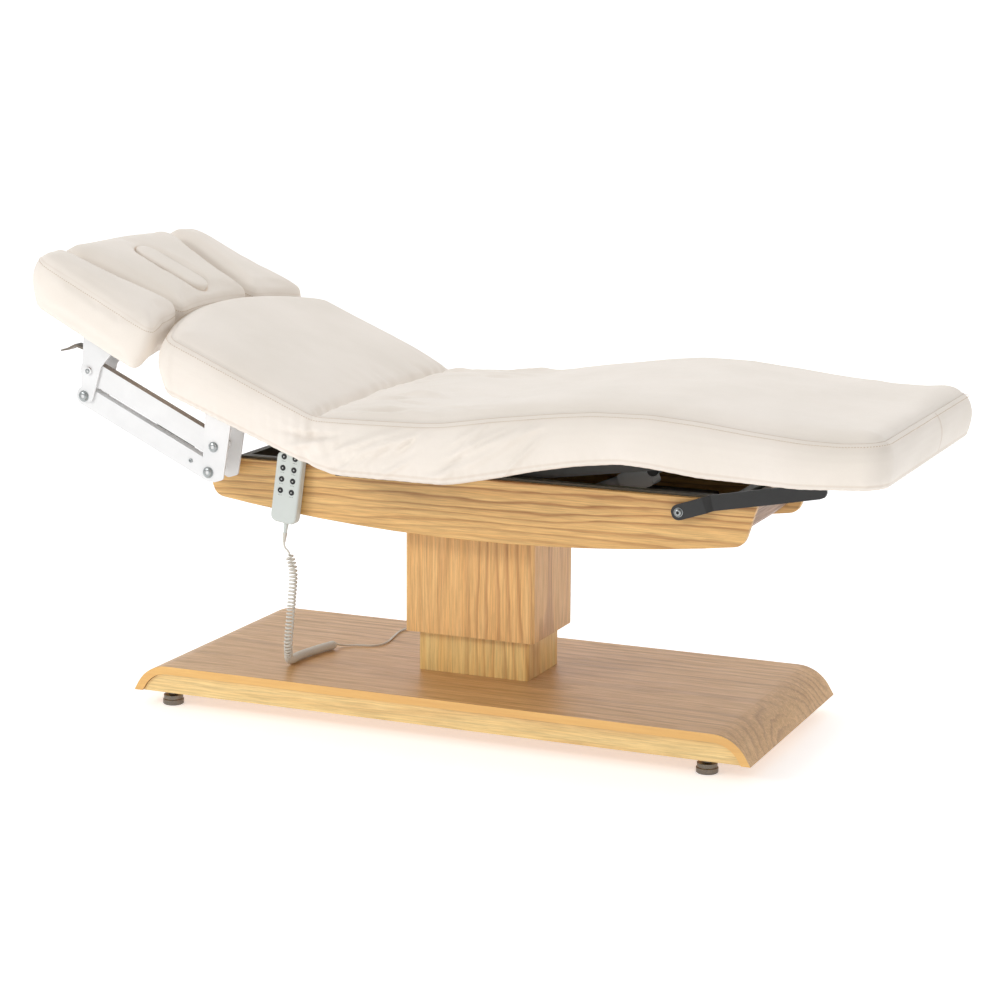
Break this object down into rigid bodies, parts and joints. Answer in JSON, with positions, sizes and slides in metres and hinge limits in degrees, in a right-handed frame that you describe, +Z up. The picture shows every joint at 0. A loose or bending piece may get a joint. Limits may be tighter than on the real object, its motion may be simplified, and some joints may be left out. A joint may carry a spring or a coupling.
{
  "type": "facial_treatment_bed",
  "caption": "Electric facial treatment bed in cream leather on a bent-wood plinth and lift column, with folding backrest, leg rest, arm-mounted headrest and a curly-cord handset",
  "frame": {"origin": "on the floor under the middle of the bounding box, leaving the cord out", "axes": "+X towards the foot end, -Y towards the side that carries the handset, +Z up"},
  "size_m": [1.9937, 0.75, 1.0354],
  "materials": {
    "light_wood": "satin lacquered ash, honey coloured",
    "shaded_wood": "satin lacquered ash, browner faces",
    "cream_leather": "matt synthetic leather over foam",
    "white_paint": "white powder coat",
    "black_paint": "black powder coat",
    "olive_paint": "dark olive-grey paint",
    "bare_steel": "zinc plated",
    "chrome": "polished",
    "grey_plastic": "matt",
    "black_plastic": "matt",
    "handset_plastic": "pale grey-green, satin",
    "cord_sheath": "pale grey, satin"
  },
  "bodies": {
    "base": {"base_top_shell": "shaded_wood", "base_apron_near": "light_wood", "base_apron_far": "light_wood", "mains_inlet": "black_plastic", "column_lower_sleeve": "light_wood", "lift_column_outer": "bare_steel", "cord_gland": "black_plastic", "cord_coil": "cord_sheath", "cord_lead": "cord_sheath"},
    "foot_1": {"levelling_foot_near_head": "chrome"},
    "foot_2": {"levelling_foot_near_foot": "chrome"},
    "foot_3": {"levelling_foot_far_head": "chrome"},
    "foot_4": {"levelling_foot_far_foot": "chrome"},
    "lift": {"column_upper_sleeve": "light_wood", "lift_column_inner": "bare_steel", "trough_side_near": "light_wood", "trough_side_far": "light_wood", "trough_hull": "shaded_wood", "seat_frame": "olive_paint", "control_box": "grey_plastic", "seat_cushion": "cream_leather", "handset_holder": "black_plastic", "cord_tail": "cord_sheath"},
    "back": {"back_frame": "black_paint", "back_cushion": "cream_leather", "head_mount_bracket_near": "white_paint", "head_mount_bracket_far": "white_paint"},
    "upper_links": {"headrest_upper_link_near": "white_paint", "headrest_upper_link_far": "white_paint"},
    "lower_links": {"headrest_lower_link_near": "white_paint", "headrest_lower_link_far": "white_paint"},
    "headrest": {"headrest_bracket_near": "white_paint", "headrest_bracket_far": "white_paint", "headrest_board": "black_paint", "head_pad_centre": "cream_leather", "head_pad_near": "cream_leather", "head_pad_far": "cream_leather"},
    "plug": {"face_slot_plug": "cream_leather"},
    "lever": {"release_lever": "black_paint"},
    "gas_cylinder": {"gas_spring_cylinder": "bare_steel"},
    "gas_rod": {"gas_spring_rod": "bare_steel"},
    "thigh": {"thigh_frame": "black_paint", "thigh_cushion": "cream_leather"},
    "calf": {"calf_frame": "black_paint", "calf_cushion": "cream_leather"},
    "struts": {"leg_strut_near": "black_paint", "leg_strut_far": "black_paint"},
    "back_drive": {"back_actuator": "grey_plastic"},
    "back_drive_rod": {"back_actuator_rod": "bare_steel"},
    "leg_drive": {"leg_actuator": "grey_plastic"},
    "leg_drive_rod": {"leg_actuator_rod": "bare_steel"},
    "handset": {"handset_body": "handset_plastic"},
    "key_1_left": {"button_1_left": "black_plastic"},
    "key_1_right": {"button_1_right": "black_plastic"},
    "key_2_left": {"button_2_left": "black_plastic"},
    "key_2_right": {"button_2_right": "black_plastic"},
    "key_3_left": {"button_3_left": "black_plastic"},
    "key_3_right": {"button_3_right": "black_plastic"},
    "key_4_left": {"button_4_left": "black_plastic"},
    "key_4_right": {"button_4_right": "black_plastic"}
  },
  "joints": [
    {"name": "column_lift", "type": "slide", "parent": "base", "child": "lift", "axis": [0, 0, 1], "range_m": [-0.085, 0.12], "deforming": ["cord_coil"]},
    {"name": "foot_near_head_turn", "type": "hinge", "parent": "base", "child": "foot_1", "pos_m": [-0.69, -0.262, 0], "axis": [0, 0, 1], "continuous": true},
    {"name": "foot_near_foot_turn", "type": "hinge", "parent": "base", "child": "foot_2", "pos_m": [0.592, -0.262, 0], "axis": [0, 0, 1], "continuous": true},
    {"name": "foot_far_head_turn", "type": "hinge", "parent": "base", "child": "foot_3", "pos_m": [-0.69, 0.262, 0], "axis": [0, 0, 1], "continuous": true},
    {"name": "foot_far_foot_turn", "type": "hinge", "parent": "base", "child": "foot_4", "pos_m": [0.592, 0.262, 0], "axis": [0, 0, 1], "continuous": true},
    {"name": "back_fold", "type": "hinge", "parent": "lift", "child": "back", "pos_m": [-0.27, 0, 0.575], "axis": [0, 1, 0], "range_deg": [-22.5, 42.5]},
    {"name": "headrest_lower_arms", "type": "hinge", "parent": "back", "child": "lower_links", "pos_m": [-0.569, 0, 0.552], "axis": [0, 1, 0], "range_deg": [-25, 6]},
    {"name": "headrest_upper_arms", "type": "hinge", "parent": "back", "child": "upper_links", "pos_m": [-0.555, 0, 0.61], "axis": [0, 1, 0], "range_deg": [-25.5, 6.5]},
    {"name": "headrest_level", "type": "hinge", "parent": "lower_links", "child": "headrest", "pos_m": [-0.885, 0, 0.701], "axis": [0, 1, 0], "range_deg": [-6.5, 25.5]},
    {"name": "plug_out", "type": "slide", "parent": "headrest", "child": "plug", "axis": [0.4305, 0, 0.9026], "range_m": [0, 0.12]},
    {"name": "lever_squeeze", "type": "hinge", "parent": "headrest", "child": "lever", "pos_m": [-0.872, -0.275, 0.803], "axis": [0, 1, 0], "range_deg": [0, 12], "stiffness_Nm_per_rad": 1.2, "springref_deg": -14.32},
    {"name": "gas_spring_swing", "type": "hinge", "parent": "lower_links", "child": "gas_cylinder", "pos_m": [-0.643, -0.251, 0.592], "axis": [0, 1, 0], "range_deg": [-1.7, 0.6]},
    {"name": "gas_spring_stroke", "type": "slide", "parent": "gas_cylinder", "child": "gas_rod", "axis": [-0.7972, 0, 0.6038], "range_m": [-0.0252, 0.0064]},
    {"name": "thigh_lift", "type": "hinge", "parent": "lift", "child": "thigh", "pos_m": [0.01, 0, 0.575], "axis": [0, -1, 0], "range_deg": [-8.5, 15]},
    {"name": "knee_fold", "type": "hinge", "parent": "thigh", "child": "calf", "pos_m": [0.45506, 0, 0.64151], "axis": [0, -1, 0], "range_deg": [-19.8, 11.3]},
    {"name": "strut_swing", "type": "hinge", "parent": "lift", "child": "struts", "pos_m": [0.503, 0, 0.54], "axis": [0, -1, 0], "range_deg": [-10, 17.6]},
    {"name": "back_drive_swing", "type": "hinge", "parent": "lift", "child": "back_drive", "pos_m": [0.12, 0, 0.505], "axis": [0, 1, 0], "range_deg": [-0.6, 1]},
    {"name": "back_drive_stroke", "type": "slide", "parent": "back_drive", "child": "back_drive_rod", "axis": [-0.9988, 0, -0.0496], "range_m": [-0.0345, 0.065]},
    {"name": "leg_drive_swing", "type": "hinge", "parent": "thigh", "child": "leg_drive", "pos_m": [0.395, -0.05, 0.596], "axis": [0, -1, 0], "range_deg": [-1.7, 2.9]},
    {"name": "leg_drive_stroke", "type": "slide", "parent": "leg_drive", "child": "leg_drive_rod", "axis": [-0.9212, 0, -0.389], "range_m": [-0.0205, 0.036]},
    {"name": "handset_out", "type": "slide", "parent": "lift", "child": "handset", "axis": [0, -1, 0], "range_m": [0, 0.08], "deforming": ["cord_tail"]},
    {"name": "press_1_left", "type": "slide", "parent": "handset", "child": "key_1_left", "axis": [0, 1, 0], "range_m": [0, 0.001], "stiffness_N_per_m": 300, "springref_m": -0.001},
    {"name": "press_1_right", "type": "slide", "parent": "handset", "child": "key_1_right", "axis": [0, 1, 0], "range_m": [0, 0.001], "stiffness_N_per_m": 300, "springref_m": -0.001},
    {"name": "press_2_left", "type": "slide", "parent": "handset", "child": "key_2_left", "axis": [0, 1, 0], "range_m": [0, 0.001], "stiffness_N_per_m": 300, "springref_m": -0.001},
    {"name": "press_2_right", "type": "slide", "parent": "handset", "child": "key_2_right", "axis": [0, 1, 0], "range_m": [0, 0.001], "stiffness_N_per_m": 300, "springref_m": -0.001},
    {"name": "press_3_left", "type": "slide", "parent": "handset", "child": "key_3_left", "axis": [0, 1, 0], "range_m": [0, 0.001], "stiffness_N_per_m": 300, "springref_m": -0.001},
    {"name": "press_3_right", "type": "slide", "parent": "handset", "child": "key_3_right", "axis": [0, 1, 0], "range_m": [0, 0.001], "stiffness_N_per_m": 300, "springref_m": -0.001},
    {"name": "press_4_left", "type": "slide", "parent": "handset", "child": "key_4_left", "axis": [0, 1, 0], "range_m": [0, 0.001], "stiffness_N_per_m": 300, "springref_m": -0.001},
    {"name": "press_4_right", "type": "slide", "parent": "handset", "child": "key_4_right", "axis": [0, 1, 0], "range_m": [0, 0.001], "stiffness_N_per_m": 300, "springref_m": -0.001}
  ],
  "couplings": [
    {"joint": "headrest_upper_arms", "follows": "headrest_lower_arms", "ratio": 1},
    {"joint": "headrest_level", "follows": "headrest_lower_arms", "ratio": -1},
    {"joint": "gas_spring_swing", "follows": "headrest_lower_arms", "ratio": 0.0622},
    {"joint": "gas_spring_stroke", "follows": "headrest_lower_arms", "m_per_rad": 0.0571},
    {"joint": "knee_fold", "follows": "thigh_lift", "ratio": -1.3},
    {"joint": "strut_swing", "follows": "thigh_lift", "ratio": 1.16},
    {"joint": "leg_drive_swing", "follows": "thigh_lift", "ratio": 0.189},
    {"joint": "leg_drive_stroke", "follows": "thigh_lift", "m_per_rad": 0.1357},
    {"joint": "back_drive_swing", "follows": "back_fold", "ratio": 0.0186},
    {"joint": "back_drive_stroke", "follows": "back_fold", "m_per_rad": 0.0872}
  ]
}
